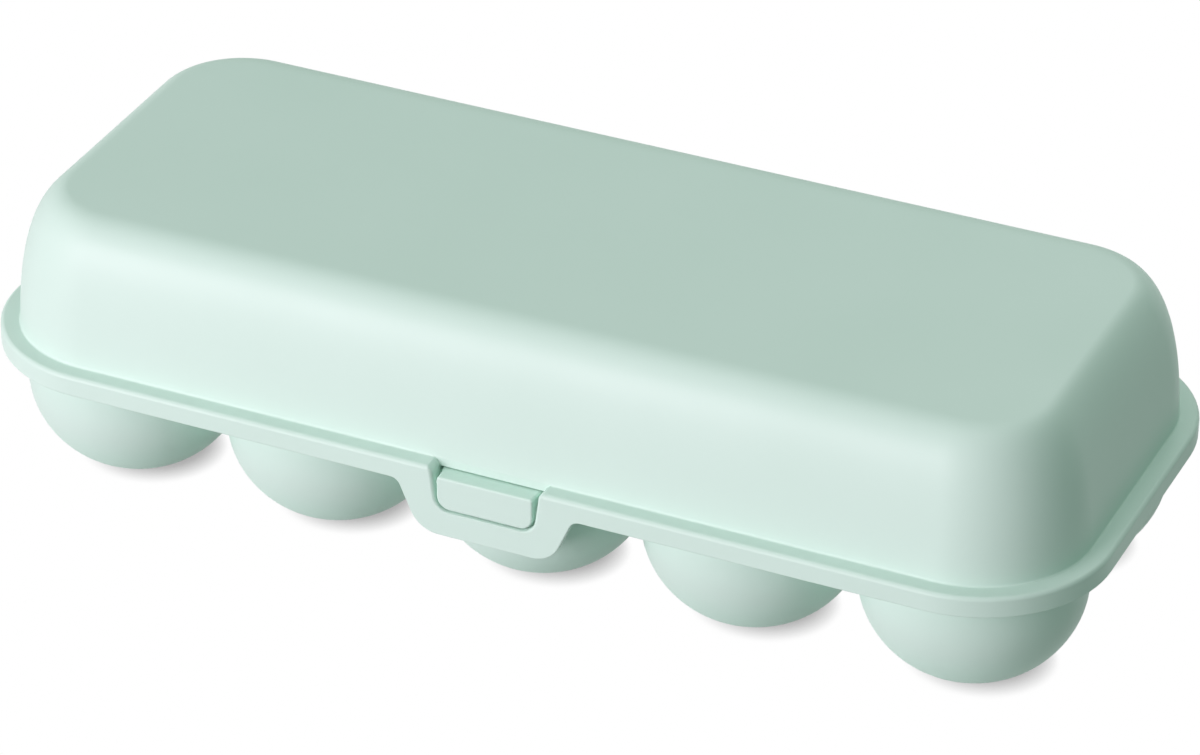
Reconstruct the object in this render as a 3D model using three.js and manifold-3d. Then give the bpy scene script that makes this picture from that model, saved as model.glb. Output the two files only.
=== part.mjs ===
// Egg box for ten eggs: a tray with two rows of cups under a domed lid that is hinged at the back
// and snaps over a catch at the front.
// Millimetres and degrees. +X runs along the box, +Y towards its back and +Z up. The cups stand on z = 0,
// and the origin is there, under the middle of the whole box.
import * as THREE from 'three';
import { mergeVertices } from 'three/addons/utils/BufferGeometryUtils.js';
import Module from 'manifold-3d';

const wasm = await Module();
wasm.setup();

// Egg cups
const cupPitch = 50;
const cupsPerRow = 5;
const rowCount = 2;
const cupSideGap = 0.6;
const cupWall = 1.6;
const cupBowlDepth = 23;
const footCut = 0.5;

// Tray deck and its rim
const deckThickness = 1.6;
const rimMargin = 5.3;

// Lid rim: a level ledge with a skirt that hangs round the tray
const ledgeHeight = 35.7;
const ledgeThickness = 2.2;
const ledgeWidthSides = 4.2;
const ledgeWidthEnds = 4.5;
const skirtHeight = 4.9;
const skirtWall = 1.8;
const rimEdgeRadius = 1;

// Lid dome
const lidHeight = 68;
const lidWall = 1.8;
const wallCornerRadius = 25.9;
const topCornerRadius = 13.4;
const sideDraft = 7.3;
const sideLean = 13.5;
const endDraft = 0.8;
const endLean = 11.5;
const uprightShare = 0.7;
const sideCurlShare = 0.75;
const endCurlShare = 0.43;

// Front flap, the window in it and the catch that fills the window
const flapDrop = 11.7;
const flapTopHalfWidth = 20.7;
const flapBottomHalfWidth = 15.6;
const flapCornerRadius = 7;
const flapFilletRadius = 2.5;
const windowBottomHalfWidth = 11.8;
const windowTopHalfWidth = 13.1;
const windowCornerRadius = 3.5;
const windowFlare = 1.3;
const cheekThickness = 1.8;
const flapBarHeight = 6.3;
const catchHalfWidth = 11.25;
const catchCornerRadius = 3;
const catchTopRadius = 0.8;
const catchTopStep = 2;
const catchTopThickness = 2;
const catchWall = 1.8;
const catchBarGap = 0.45;

// Back hinge: two bars on the tray, each held by a clip on the lid
const hingeStationOffset = 62;
const hingeBarRadius = 1.4;
const hingeBarLength = 14;
const hingeRunningGap = 0.3;
const hingeSideGap = 0.4;
const hingeSetback = 3.3;
const hingeDrop = 0.4;
const clipWall = 1.2;
const clipMouth = 2.2;
const clipWebDrop = 0.2;
const earThickness = 2.4;
const earArmDepth = 3;
const earLegWidth = 2.2;

// Clearances
const lidSeatGap = 0.4;
const skirtGap = 0.4;
const seamGap = 0.3;
const cutOverrun = 5;

// Counts of flat facets on curved surfaces
const cupFacets = 24;
const bowlSteps = 5;
const cornerSteps = 7;
const domeSteps = 8;
const edgeSteps = 2;
const filletSteps = 4;
const roundFacets = 20;

// Sizes that follow from the ones above
const cupRadius = (cupPitch - cupSideGap) / 2;
const bowlCentreHeight = cupBowlDepth - footCut;
const cellHalfLength = (cupPitch * cupsPerRow) / 2;
const cellHalfWidth = (cupPitch * rowCount) / 2;
const cellCornerRadius = cupPitch / 2;
const rimHalfLength = cellHalfLength + rimMargin;
const rimHalfWidth = cellHalfWidth + rimMargin;
const rimCornerRadius = cellCornerRadius + rimMargin;
const trayInset = skirtWall + skirtGap;
const trayHalfWidth = rimHalfWidth - trayInset;
const skirtBottom = ledgeHeight - skirtHeight;
const deckTop = ledgeHeight - ledgeThickness - lidSeatGap;
const deckBottom = deckTop - deckThickness;
const catchTop = ledgeHeight - catchTopStep;
const flapBottom = skirtBottom - flapDrop;
const windowBottom = flapBottom + flapBarHeight;
const catchBottom = windowBottom + catchBarGap;
const catchBack = cellHalfWidth + seamGap;
const cheekReach = windowTopHalfWidth + cheekThickness;
const hingeY = rimHalfWidth + hingeSetback;
const hingeZ = skirtBottom - hingeDrop;
const clipBoreRadius = hingeBarRadius + hingeRunningGap;
const clipRadius = clipBoreRadius + clipWall;
const backReach = hingeY + clipRadius;
const frontFace = -rimHalfWidth;
const middleShift = (backReach + frontFace) / 2;

// Colours and finish of the one plastic, a shade apart so that the mouldings can be told from each other
const lidPlastic = { color: 0xd2e9e0, roughness: 0.48, metalness: 0 };
const trayPlastic = { color: 0xc4ddd3, roughness: 0.52, metalness: 0 };

const box = new THREE.Group();

function addPiece(name, geometry, finish) {
  const piece = new THREE.Mesh(geometry, new THREE.MeshStandardMaterial(finish));
  piece.name = name;
  piece.position.y = -middleShift;
  box.add(piece);
}

// Joins and cuts of closed bodies

function toSolid(geometry) {
  const bare = geometry.clone();
  bare.deleteAttribute('normal');
  bare.deleteAttribute('uv');
  const merged = mergeVertices(bare);
  const corners = merged.index.array;
  const triangles = [];
  for (let i = 0; i < corners.length; i += 3) {
    const triangle = [corners[i], corners[i + 1], corners[i + 2]];
    if (new Set(triangle).size === 3) triangles.push(...triangle);
  }
  return new wasm.Manifold(new wasm.Mesh({
    numProp: 3,
    vertProperties: Float32Array.from(merged.attributes.position.array),
    triVerts: Uint32Array.from(triangles),
  }));
}

function toGeometry(solid) {
  const mesh = solid.getMesh();
  const geometry = new THREE.BufferGeometry();
  geometry.setAttribute('position', new THREE.BufferAttribute(mesh.vertProperties, mesh.numProp));
  geometry.setIndex(new THREE.BufferAttribute(mesh.triVerts, 1));
  geometry.computeVertexNormals();
  return geometry;
}

function joined(geometries) {
  return toGeometry(geometries.map(toSolid).reduce((whole, next) => whole.add(next)));
}

function cutAway(geometry, cutters) {
  return toGeometry(cutters.map(toSolid).reduce((left, cutter) => left.subtract(cutter), toSolid(geometry)));
}

// Outlines and the bodies made from them

function degrees(angle) {
  return THREE.MathUtils.degToRad(angle);
}

function roundedOutline(halfLength, halfWidth, radius) {
  const points = [];
  for (let corner = 0; corner < 4; corner += 1) {
    const centreX = (corner === 0 || corner === 3 ? 1 : -1) * (halfLength - radius);
    const centreY = (corner < 2 ? 1 : -1) * (halfWidth - radius);
    for (let step = 0; step <= cornerSteps; step += 1) {
      const angle = degrees(90 * (corner + step / cornerSteps));
      points.push(new THREE.Vector2(centreX + radius * Math.cos(angle), centreY + radius * Math.sin(angle)));
    }
  }
  return points;
}

// A ring at one height, drawn in from the outline of the lid's rim.
function rimRing(inset, height) {
  const outline = roundedOutline(rimHalfLength - inset, rimHalfWidth - inset, rimCornerRadius - inset);
  return outline.map((point) => new THREE.Vector3(point.x, point.y, height));
}

// A closed body through rings of points. Capped, its first and last rings are closed by flat faces;
// otherwise the last ring joins the first one.
function ringBody(rings, capped) {
  const count = rings[0].length;
  const triangles = [];
  const spans = capped ? rings.length - 1 : rings.length;
  for (let span = 0; span < spans; span += 1) {
    const here = span * count;
    const next = ((span + 1) % rings.length) * count;
    for (let i = 0; i < count; i += 1) {
      const j = (i + 1) % count;
      triangles.push(here + i, here + j, next + j, here + i, next + j, next + i);
    }
  }
  if (capped) {
    const last = (rings.length - 1) * count;
    for (let i = 1; i < count - 1; i += 1) {
      triangles.push(0, i + 1, i, last, last + i, last + i + 1);
    }
  }
  const geometry = new THREE.BufferGeometry();
  geometry.setFromPoints(rings.flat());
  geometry.setIndex(triangles);
  return geometry;
}

// A shape through corner points, each given as [x, y, radius of its rounding].
function roundedShape(corners) {
  const shape = new THREE.Shape();
  corners.forEach(([x, y, radius = 0], i) => {
    const corner = new THREE.Vector2(x, y);
    const before = new THREE.Vector2(...corners.at(i - 1).slice(0, 2)).sub(corner).normalize();
    const after = new THREE.Vector2(...corners[(i + 1) % corners.length].slice(0, 2)).sub(corner).normalize();
    const halfAngle = Math.acos(before.dot(after)) / 2;
    const reach = radius / Math.tan(halfAngle);
    const start = corner.clone().addScaledVector(before, reach);
    const end = corner.clone().addScaledVector(after, reach);
    if (i === 0) shape.moveTo(start.x, start.y);
    else shape.lineTo(start.x, start.y);
    if (radius === 0) return;
    const centre = before.clone().add(after).normalize().multiplyScalar(radius / Math.sin(halfAngle)).add(corner);
    const turnsLeft = before.cross(after) < 0;
    const from = start.clone().sub(centre).angle();
    const to = end.clone().sub(centre).angle();
    shape.absarc(centre.x, centre.y, radius, from, to, !turnsLeft);
  });
  shape.closePath();
  return shape;
}

// Corners for roundedShape, with the left half repeated as a mirror image on the right.
function mirrored(corners) {
  const right = corners.map(([x, y, radius]) => [-x, y, radius]).reverse();
  return [...corners, ...right];
}

// A shape seen from the front, x across and z up, given depth from yFrom back to yTo.
function frontSlab(shape, yFrom, yTo) {
  const geometry = new THREE.ExtrudeGeometry(shape, {
    depth: yTo - yFrom, bevelEnabled: false, curveSegments: filletSteps,
  });
  return geometry.rotateX(degrees(90)).translate(0, yTo, 0);
}

// A shape seen from the right end, y across and z up, given width from xFrom to xTo.
function sideSlab(shape, xFrom, xTo) {
  const geometry = new THREE.ExtrudeGeometry(shape, {
    depth: xTo - xFrom, bevelEnabled: false, curveSegments: roundFacets / 2,
  });
  return geometry.rotateX(degrees(90)).rotateZ(degrees(90)).translate(xFrom, 0, 0);
}

function blockBetween([x0, y0, z0], [x1, y1, z1]) {
  const geometry = new THREE.BoxGeometry(x1 - x0, y1 - y0, z1 - z0);
  return geometry.translate((x0 + x1) / 2, (y0 + y1) / 2, (z0 + z1) / 2);
}

// Lid dome: walls that lean in and curl over into the flat top

function domeProfile(draft, lean, curlShare) {
  const upright = uprightShare * (lidHeight - ledgeHeight);
  return new THREE.CubicBezierCurve(
    new THREE.Vector2(0, ledgeHeight),
    new THREE.Vector2(upright * Math.tan(degrees(draft)), ledgeHeight + upright),
    new THREE.Vector2(lean * (1 - curlShare), lidHeight),
    new THREE.Vector2(lean, lidHeight),
  );
}

const sideProfile = domeProfile(sideDraft, sideLean, sideCurlShare);
const endProfile = domeProfile(endDraft, endLean, endCurlShare);

// The dome's ring at a step up its profile, moved in by a depth square to the surface.
function domeRing(step, depth) {
  const share = step / domeSteps;
  const side = sideProfile.getPoint(share);
  const end = endProfile.getPoint(share);
  const lift = sideProfile.getTangent(share);
  const across = depth * lift.y;
  const radius = THREE.MathUtils.lerp(wallCornerRadius, topCornerRadius, side.x / sideLean) - across;
  const outline = roundedOutline(
    rimHalfLength - ledgeWidthEnds - end.x - across,
    rimHalfWidth - ledgeWidthSides - side.x - across,
    radius,
  );
  const height = step === 0 ? ledgeHeight : side.y - depth * lift.x;
  return outline.map((point) => new THREE.Vector3(point.x, point.y, height));
}

function lidCover() {
  const rings = [];
  for (let step = domeSteps; step >= 0; step -= 1) rings.push(domeRing(step, lidWall));
  for (let step = 0; step <= domeSteps; step += 1) rings.push(domeRing(step, 0));
  return ringBody(rings, true);
}

// Lid rim: ledge, skirt and the rounded edge between them, with a cheek at each side of the window

function windowShape() {
  const above = ledgeHeight + windowFlare;
  return roundedShape(mirrored([
    [-windowTopHalfWidth - 2 * windowFlare, above],
    [-windowTopHalfWidth, ledgeHeight - windowFlare],
    [-windowBottomHalfWidth, windowBottom, windowCornerRadius],
  ]));
}

function lidRim() {
  const rings = [rimRing(0, skirtBottom)];
  for (let step = 0; step <= edgeSteps; step += 1) {
    const angle = degrees((90 * step) / edgeSteps);
    const inset = rimEdgeRadius * (1 - Math.cos(angle));
    rings.push(rimRing(inset, ledgeHeight - rimEdgeRadius * (1 - Math.sin(angle))));
  }
  const underside = ledgeHeight - ledgeThickness;
  const opening = domeRing(0, lidWall);
  rings.push(opening);
  rings.push(opening.map((point) => new THREE.Vector3(point.x, point.y, underside)));
  rings.push(rimRing(skirtWall, underside));
  rings.push(rimRing(skirtWall, skirtBottom));
  const wallFace = -(rimHalfWidth - ledgeWidthSides);
  const cheeks = blockBetween(
    [-cheekReach, frontFace + skirtWall / 2, skirtBottom + seamGap],
    [cheekReach, wallFace, ledgeHeight - ledgeThickness / 2],
  );
  const window = frontSlab(windowShape(), frontFace - cutOverrun, wallFace);
  const catchRoom = blockBetween(
    [-catchHalfWidth - seamGap, frontFace - cutOverrun, skirtBottom - cutOverrun],
    [catchHalfWidth + seamGap, -catchBack + seamGap, catchTop + seamGap],
  );
  return cutAway(joined([ringBody(rings, false), cheeks]), [window, catchRoom]);
}

// Front flap: the U-shaped loop that hangs from the skirt and snaps under the catch

function flapShape() {
  const shoulder = flapTopHalfWidth + 2 * flapFilletRadius;
  return roundedShape(mirrored([
    [-shoulder, skirtBottom + flapFilletRadius],
    [-shoulder, skirtBottom],
    [-flapTopHalfWidth, skirtBottom, flapFilletRadius],
    [-flapBottomHalfWidth, flapBottom, flapCornerRadius],
  ]));
}

function frontFlap() {
  const back = frontFace + skirtWall;
  const shoulder = flapTopHalfWidth + 2 * flapFilletRadius + cutOverrun;
  const aboveSeam = blockBetween(
    [-shoulder, frontFace - cutOverrun, skirtBottom - seamGap],
    [shoulder, back + cutOverrun, ledgeHeight + cutOverrun],
  );
  const window = frontSlab(windowShape(), frontFace - cutOverrun, back + cutOverrun);
  return cutAway(frontSlab(flapShape(), frontFace, back), [aboveSeam, window]);
}

// Lid hinge clip: a ring with a mouth, on a web that runs up to the skirt

function lidHingeClip(stationX) {
  const halfWidth = hingeBarLength / 2 - hingeSideGap;
  const webTop = ledgeHeight - rimEdgeRadius;
  const web = new THREE.Shape([
    new THREE.Vector2(rimHalfWidth, skirtBottom + clipWebDrop),
    new THREE.Vector2(hingeY, hingeZ),
    new THREE.Vector2(hingeY + clipRadius * Math.SQRT1_2, hingeZ + clipRadius * Math.SQRT1_2),
    new THREE.Vector2(hingeY, webTop),
    new THREE.Vector2(rimHalfWidth, webTop),
  ]);
  const ring = new THREE.Shape().absarc(hingeY, hingeZ, clipRadius, 0, degrees(360));
  const bore = new THREE.Shape().absarc(hingeY, hingeZ, clipBoreRadius, 0, degrees(360));
  const from = stationX - halfWidth;
  const to = stationX + halfWidth;
  const mouth = blockBetween(
    [from - cutOverrun, hingeY - clipMouth / 2, hingeZ - cutOverrun],
    [to + cutOverrun, hingeY + clipMouth / 2, hingeZ],
  );
  const body = joined([sideSlab(web, from, to), sideSlab(ring, from, to)]);
  return cutAway(body, [sideSlab(bore, from - cutOverrun, to + cutOverrun), mouth]);
}

// Tray hinge bracket: two ears that reach out under the skirt, tied by a web behind the cups

function earShape() {
  const legFront = trayHalfWidth - earLegWidth;
  const armTop = skirtBottom - seamGap;
  const rise = armTop - hingeZ;
  const armMeets = Math.sqrt(clipRadius ** 2 - rise ** 2);
  const shape = new THREE.Shape();
  shape.moveTo(legFront, deckBottom);
  shape.lineTo(legFront, hingeZ - clipRadius + earArmDepth / 2);
  shape.lineTo(legFront + earLegWidth / 2, hingeZ - clipRadius);
  shape.lineTo(hingeY, hingeZ - clipRadius);
  shape.absarc(hingeY, hingeZ, clipRadius, degrees(-90), Math.atan2(rise, -armMeets), false);
  shape.lineTo(trayHalfWidth, armTop);
  shape.lineTo(trayHalfWidth, deckBottom);
  shape.closePath();
  return shape;
}

function trayHingeBracket(stationX) {
  const inner = hingeBarLength / 2;
  const outer = inner + earThickness;
  const web = blockBetween(
    [stationX - outer, trayHalfWidth - earLegWidth, hingeZ - clipRadius + earArmDepth / 2],
    [stationX + outer, trayHalfWidth, deckBottom],
  );
  return joined([
    web,
    sideSlab(earShape(), stationX - outer, stationX - inner),
    sideSlab(earShape(), stationX + inner, stationX + outer),
  ]);
}

function hingeBar(stationX) {
  const bar = new THREE.CylinderGeometry(hingeBarRadius, hingeBarRadius, hingeBarLength, roundFacets);
  return bar.rotateZ(degrees(90)).translate(stationX, hingeY, hingeZ);
}

// Egg cup: a round-bottomed bowl with a flat foot, and its own square of the deck round its mouth

function bowlPoints(radius, depth, floorHeight) {
  const points = [];
  const lowest = Math.acos(Math.min(1, (bowlCentreHeight - floorHeight) / depth));
  for (let step = 0; step <= bowlSteps; step += 1) {
    const angle = THREE.MathUtils.lerp(lowest, degrees(90), step / bowlSteps);
    points.push(new THREE.Vector2(radius * Math.sin(angle), bowlCentreHeight - depth * Math.cos(angle)));
  }
  return points;
}

// The square of deck round a cup. A corner that is also a corner of the tray is rounded.
function deckSquare(column, row) {
  const half = cupPitch / 2;
  const roundedSide = { 0: -1, [cupsPerRow - 1]: 1 }[column] ?? 0;
  const roundedEdge = row === 0 ? -1 : 1;
  const shape = new THREE.Shape().moveTo(half, 0);
  for (let corner = 0; corner < 4; corner += 1) {
    const x = corner === 0 || corner === 3 ? 1 : -1;
    const y = corner < 2 ? 1 : -1;
    const from = degrees(90 * corner);
    if (x === roundedSide && y === roundedEdge) {
      shape.absarc(0, 0, cellCornerRadius, from, from + degrees(90), false);
    } else {
      shape.lineTo(half * x, half * y);
    }
  }
  shape.closePath();
  return new THREE.ExtrudeGeometry(shape, {
    depth: deckThickness, bevelEnabled: false, curveSegments: cornerSteps,
  });
}

// A solid of revolution about the upright axis: a round bottom that runs straight up to a flat top.
function roundBottomed(radius, depth, floorHeight, topHeight) {
  const profile = [
    new THREE.Vector2(0, floorHeight),
    ...bowlPoints(radius, depth, floorHeight),
    new THREE.Vector2(radius, topHeight),
    new THREE.Vector2(0, topHeight),
  ];
  return new THREE.LatheGeometry(profile, cupFacets).rotateX(degrees(90));
}

function eggCup(column, row) {
  const body = joined([
    roundBottomed(cupRadius, cupBowlDepth, 0, deckTop),
    deckSquare(column, row).translate(0, 0, deckBottom),
  ]);
  const hollow = roundBottomed(cupRadius - cupWall, cupBowlDepth - cupWall, cupWall, deckTop + cutOverrun);
  const x = (column - (cupsPerRow - 1) / 2) * cupPitch;
  const y = (row - (rowCount - 1) / 2) * cupPitch;
  return cutAway(body, [hollow]).translate(x, y, 0);
}

// Tray rim: the flange round the cups, open at the front for the catch and the window's cheeks

function trayRim() {
  const inner = rimMargin - seamGap;
  const ring = ringBody([
    rimRing(trayInset, deckBottom),
    rimRing(trayInset, deckTop),
    rimRing(inner, deckTop),
    rimRing(inner, deckBottom),
  ], false);
  const opening = blockBetween(
    [-cheekReach - skirtGap, frontFace, deckBottom - cutOverrun],
    [cheekReach + skirtGap, 0, deckTop + cutOverrun],
  );
  return cutAway(ring, [opening]);
}

// Latch catch: a lug, hollow behind, whose face fills the flap's window

function latchCatch() {
  const face = roundedShape(mirrored([
    [-catchHalfWidth, catchTop, catchTopRadius],
    [-catchHalfWidth, catchBottom, catchCornerRadius],
  ]));
  const pocket = blockBetween(
    [-catchHalfWidth + catchWall, frontFace + catchWall, catchBottom - cutOverrun],
    [catchHalfWidth - catchWall, -catchBack + cutOverrun, catchTop - catchTopThickness],
  );
  return cutAway(frontSlab(face, frontFace, -catchBack), [pocket]);
}

addPiece('lid_cover', lidCover(), lidPlastic);
addPiece('lid_rim', lidRim(), lidPlastic);
addPiece('front_flap', frontFlap(), lidPlastic);
addPiece('tray_rim', trayRim(), trayPlastic);
addPiece('latch_catch', latchCatch(), trayPlastic);

const rowNames = ['front', 'rear'];
for (let row = 0; row < rowCount; row += 1) {
  for (let column = 0; column < cupsPerRow; column += 1) {
    addPiece(`egg_cup_${rowNames[row]}_${column + 1}`, eggCup(column, row), trayPlastic);
  }
}

for (const [side, stationX] of [['left', -hingeStationOffset], ['right', hingeStationOffset]]) {
  addPiece(`lid_hinge_clip_${side}`, lidHingeClip(stationX), lidPlastic);
  addPiece(`tray_hinge_bracket_${side}`, trayHingeBracket(stationX), trayPlastic);
  addPiece(`hinge_bar_${side}`, hingeBar(stationX), trayPlastic);
}

export default box;
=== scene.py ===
"""Egg box for ten eggs: the looks of its two mouldings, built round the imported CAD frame.

The lid is one moulding: a domed cover, a level rim with its skirt, and a loop that hangs at the
front. The tray is the other one: ten round cups, the deck round their mouths, the catch that fills
the window in the lid's loop, and the hinge bars that the lid's clips turn on. Sizes are in
millimetres in the rim's own frame, whose middle is at x = 0, y = 0, and MM turns them into metres.
"""

import logging
import math
from collections.abc import Callable, Iterable, Sequence
from dataclasses import dataclass
from enum import Enum

import bmesh
import bpy
import numpy as np
from mathutils import Matrix, Vector


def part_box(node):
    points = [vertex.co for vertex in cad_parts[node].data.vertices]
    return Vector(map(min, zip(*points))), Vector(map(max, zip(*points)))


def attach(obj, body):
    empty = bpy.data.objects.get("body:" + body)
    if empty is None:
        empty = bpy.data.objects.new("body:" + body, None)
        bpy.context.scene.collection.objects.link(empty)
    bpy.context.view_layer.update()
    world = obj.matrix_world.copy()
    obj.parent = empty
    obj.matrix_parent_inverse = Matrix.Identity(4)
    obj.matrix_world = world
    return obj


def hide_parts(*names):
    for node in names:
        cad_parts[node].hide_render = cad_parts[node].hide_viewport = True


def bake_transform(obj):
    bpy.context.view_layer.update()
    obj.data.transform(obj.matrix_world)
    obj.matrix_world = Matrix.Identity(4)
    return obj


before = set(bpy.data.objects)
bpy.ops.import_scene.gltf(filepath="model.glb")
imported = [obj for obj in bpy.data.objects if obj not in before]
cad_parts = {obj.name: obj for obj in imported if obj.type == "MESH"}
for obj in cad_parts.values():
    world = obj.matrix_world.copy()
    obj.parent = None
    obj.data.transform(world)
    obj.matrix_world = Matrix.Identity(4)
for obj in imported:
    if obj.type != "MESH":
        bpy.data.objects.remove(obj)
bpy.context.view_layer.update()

Point2 = tuple[float, float]
Point3 = tuple[float, float, float]
Settings = dict[str | int, object]
Piece = bpy.types.Object
Edge = bmesh.types.BMEdge
Tree = bpy.types.NodeTree
Socket = bpy.types.NodeSocket

MM = 0.001
LID_NODES = ("lid_cover", "lid_rim", "front_flap", "lid_hinge_clip_left", "lid_hinge_clip_right")

# In millimetres: points nearer than the first become one, and bodies that cut reach past what they
# cut by the second.
WELD = 0.002
BEYOND = 5.0

# Angles between two faces, in degrees: below the first they are one flat face, above the second
# their edge is rounded, and above the third they are shaded apart.
FLAT_ANGLE = 0.05
SHARP_ANGLE = 42.0
CREASE_ANGLE = 50.0

# How much large faces lead the small ones beside them in smooth shading, out of 100.
FACE_WEIGHT = 60

# The facets round a corner of a rounded rectangle, and round a corner of a path.
CORNER_STEPS = 20
PATH_STEPS = 10

# The signs of X and Y in the four quarters round a middle, anticlockwise from the right.
QUARTERS = ((1, 1), (-1, 1), (-1, -1), (1, -1))

# The sockets of a Mix node for colours. They share their names, so they are known by number.
MIX_FACTOR, MIX_FROM, MIX_TO, MIX_RESULT = 0, 6, 7, 2

log = logging.getLogger("egg_box")


class Body(Enum):
    """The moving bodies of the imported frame."""

    TRAY = "tray"
    LID = "lid"
    FLAP = "flap"


class Slot(Enum):
    """The record's material slots."""

    LID = "lid_plastic"
    TRAY = "tray_plastic"


class Across(Enum):
    """The axis along which an outline is given depth."""

    X = "x"
    Y = "y"


# Meshes


def rim_middle() -> float:
    """Give the Y of the rim's middle in scene metres."""
    low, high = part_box("lid_rim")
    return (low.y + high.y) / 2


def placed(name: str, data: bpy.types.ID) -> Piece:
    """Put a new object that holds a mesh, a lamp or a lens into the scene."""
    new = bpy.data.objects.new(name, data)
    bpy.context.scene.collection.objects.link(new)
    return new


def new_piece(name: str, points: Iterable[Point3], faces: Iterable[Sequence[int]]) -> Piece:
    """Make a mesh object from points in the rim's own frame.

    Args:
        name: The piece's name.
        points: Corners in millimetres.
        faces: Corner numbers of each face.

    Returns:
        The new object, with its faces turned outwards.
    """
    middle = rim_middle()
    mesh = bpy.data.meshes.new(name)
    mesh.from_pydata([(x * MM, y * MM + middle, z * MM) for x, y, z in points], [], list(faces))
    shape = bmesh.new()
    shape.from_mesh(mesh)
    bmesh.ops.remove_doubles(shape, verts=shape.verts, dist=WELD * MM)
    bmesh.ops.recalc_face_normals(shape, faces=shape.faces)
    shape.to_mesh(mesh)
    shape.free()
    return placed(name, mesh)


def lofted(name: str, rings: Sequence[Sequence[Point3]]) -> Piece:
    """Skin a row of rings that have equal counts of points, and close the first and the last one.

    Args:
        name: The piece's name.
        rings: The rings in order, each a closed loop of points in millimetres.

    Returns:
        The closed body.
    """
    count = len(rings[0])
    faces: list[Sequence[int]] = []
    for span in range(len(rings) - 1):
        for i in range(count):
            j = (i + 1) % count
            here, after = span * count, (span + 1) * count
            faces.append((here + i, here + j, after + j, after + i))
    faces.append(list(range(count))[::-1])
    faces.append(list(range((len(rings) - 1) * count, len(rings) * count)))
    return new_piece(name, [point for ring in rings for point in ring], faces)


def slab(name: str, outline: Sequence[Point2], across: Across, low: float, high: float) -> Piece:
    """Give an upright outline depth along X or Y.

    Args:
        name: The piece's name.
        outline: A closed loop, each point as (distance along the other level axis, height).
        across: The axis of the depth.
        low: Where the slab starts on that axis.
        high: Where it ends.

    Returns:
        The closed slab.
    """
    if across is Across.X:
        return lofted(name, [[(x, u, z) for u, z in outline] for x in (low, high)])
    return lofted(name, [[(u, y, z) for u, z in outline] for y in (low, high)])


def block(name: str, low: Point3, high: Point3) -> Piece:
    """Make an upright block between two corners."""
    outline = [(low[0], low[2]), (high[0], low[2]), (high[0], high[2]), (low[0], high[2])]
    return slab(name, outline, Across.Y, low[1], high[1])


def settle(piece: Piece) -> None:
    """Apply the piece's modifiers to its mesh."""
    graph = bpy.context.evaluated_depsgraph_get()
    settled = bpy.data.meshes.new_from_object(piece.evaluated_get(graph), depsgraph=graph)
    settled.name = piece.name
    piece.modifiers.clear()
    piece.data = settled


def combine(piece: Piece, others: Iterable[Piece], operation: str) -> None:
    """Cut other bodies out of a piece, or join them to it, and use them up.

    Args:
        piece: The piece that is changed.
        others: The bodies that cut or join.
        operation: DIFFERENCE or UNION.
    """
    for other in others:
        step = piece.modifiers.new(operation, "BOOLEAN")
        step.operation = operation
        step.solver = "EXACT"
        step.object = other
        settle(piece)
        bpy.data.objects.remove(other)


def sharp_edge(edge: Edge) -> bool:
    """Tell whether the two faces at an edge meet at a clear angle."""
    return len(edge.link_faces) == 2 and edge.calc_face_angle(0.0) > math.radians(SHARP_ANGLE)


def soften(
    piece: Piece,
    radius: float,
    segments: int = 3,
    chosen: Callable[[Edge], bool] = sharp_edge,
) -> None:
    """Round a piece's sharp edges, as a moulded part has them.

    Args:
        piece: The piece.
        radius: The edge radius in millimetres.
        segments: The number of facets round each edge.
        chosen: Says which edges are rounded.
    """
    shape = bmesh.new()
    shape.from_mesh(piece.data)
    bmesh.ops.remove_doubles(shape, verts=shape.verts, dist=WELD * MM)
    flat = math.radians(FLAT_ANGLE)
    bmesh.ops.dissolve_limit(shape, angle_limit=flat, verts=shape.verts, edges=shape.edges)
    edges = [edge for edge in shape.edges if chosen(edge)]
    bmesh.ops.bevel(
        shape,
        geom=edges,
        offset=radius * MM,
        offset_type="OFFSET",
        segments=segments,
        profile=0.5,
        affect="EDGES",
        clamp_overlap=False,
    )
    bmesh.ops.remove_doubles(shape, verts=shape.verts, dist=WELD * MM)
    shape.to_mesh(piece.data)
    shape.free()


def divide(piece: Piece, stations: Sequence[float]) -> None:
    """Split a piece's faces at stations along X, so that shading near its details stays there."""
    shape = bmesh.new()
    shape.from_mesh(piece.data)
    for x in stations:
        geometry = [*shape.verts, *shape.edges, *shape.faces]
        bmesh.ops.bisect_plane(shape, geom=geometry, plane_co=(x * MM, 0, 0), plane_no=(1, 0, 0))
    shape.to_mesh(piece.data)
    shape.free()


def smooth(piece: Piece) -> None:
    """Shade a piece smooth, with its large flat faces kept flat."""
    mesh = piece.data
    mesh.polygons.foreach_set("use_smooth", [True] * len(mesh.polygons))
    mesh.set_sharp_from_angle(angle=math.radians(CREASE_ANGLE))
    step = piece.modifiers.new("even", "WEIGHTED_NORMAL")
    step.keep_sharp = True
    step.weight = FACE_WEIGHT
    settle(piece)


# Outlines


def rounded_rectangle(
    half_length: float, half_width: float, radius: float, height: float
) -> list[Point3]:
    """Give the points of a level rectangle with round corners, anticlockwise from its right end."""
    points = []
    for corner, (sx, sy) in enumerate(QUARTERS):
        for step in range(CORNER_STEPS + 1):
            angle = math.radians(90 * (corner + step / CORNER_STEPS))
            x = sx * (half_length - radius) + radius * math.cos(angle)
            y = sy * (half_width - radius) + radius * math.sin(angle)
            points.append((x, y, height))
    return points


def arc(centre: Point2, radius: float, start: float, end: float, steps: int) -> list[Point2]:
    """Give points along a circle's arc, its angles in degrees."""
    angles = np.radians(np.linspace(start, end, steps + 1))
    return [(centre[0] + radius * math.cos(a), centre[1] + radius * math.sin(a)) for a in angles]


def circle(centre: Point2, radius: float, sides: int) -> list[Point2]:
    """Give the points of a closed circle that is made of so many sides."""
    return arc(centre, radius, 0, 360 - 360 / sides, sides - 1)


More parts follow.
